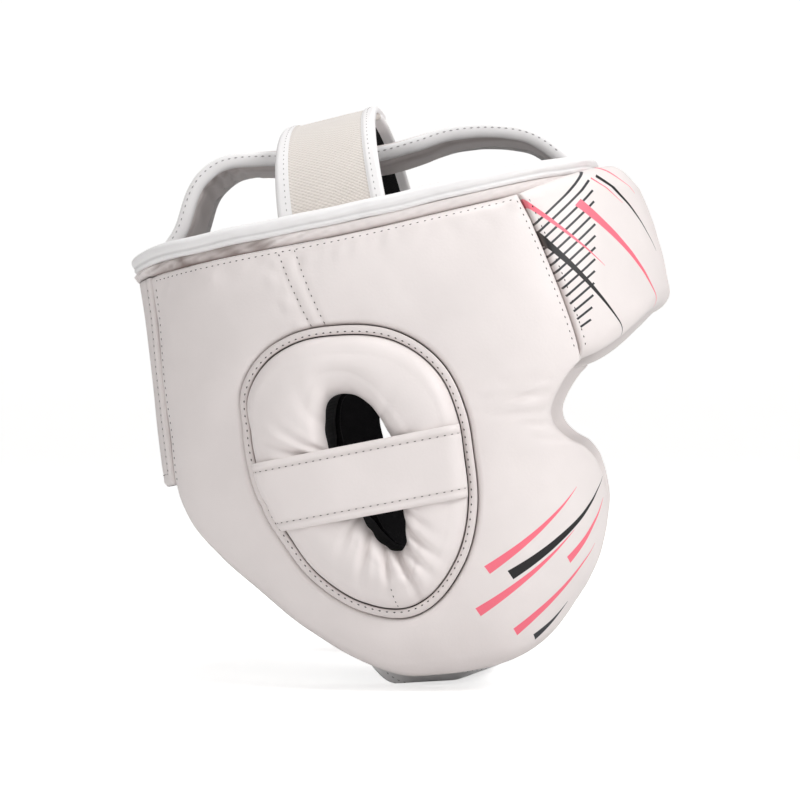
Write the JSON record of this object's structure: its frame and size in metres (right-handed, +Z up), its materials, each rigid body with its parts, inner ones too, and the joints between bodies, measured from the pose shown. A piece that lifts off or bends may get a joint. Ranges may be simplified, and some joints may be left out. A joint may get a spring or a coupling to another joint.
{
  "type": "boxing headgear",
  "caption": "Full-face sparring headgear with padded brow, cheek and ear pads, open crown with crossed straps, nape flap and chin strap.",
  "frame": {"origin": "middle of the footprint, on the surface that the headgear lies on", "axes": "+Z up, the face towards -Y, the wearer's right ear towards -X"},
  "size_m": [0.2326, 0.2772, 0.291],
  "materials": {
    "leather": "off-white smooth synthetic leather, satin",
    "binding": "white tape, matt",
    "lining": "black brushed lining, matt",
    "hook_and_loop": "beige hook-and-loop tape, matt"
  },
  "bodies": {
    "root": {"brow_pad": "leather", "brow_lining": "lining", "side_pad_right": "leather", "ear_pad_right": "leather", "ear_welt_right": "binding", "ear_strap_right": "leather", "side_lining_right": "lining", "nape_flap_right": "leather", "crown_strap_right": "hook_and_loop", "band_piping_right": "binding", "side_pad_left": "leather", "ear_pad_left": "leather", "ear_welt_left": "binding", "ear_strap_left": "leather", "side_lining_left": "lining", "nape_flap_left": "leather", "crown_strap_left": "hook_and_loop", "band_piping_left": "binding", "top_flange": "leather", "rim_binding": "binding", "crown_band": "leather", "chin_strap_right": "binding", "chin_strap_left": "binding"}
  },
  "joints": []
}
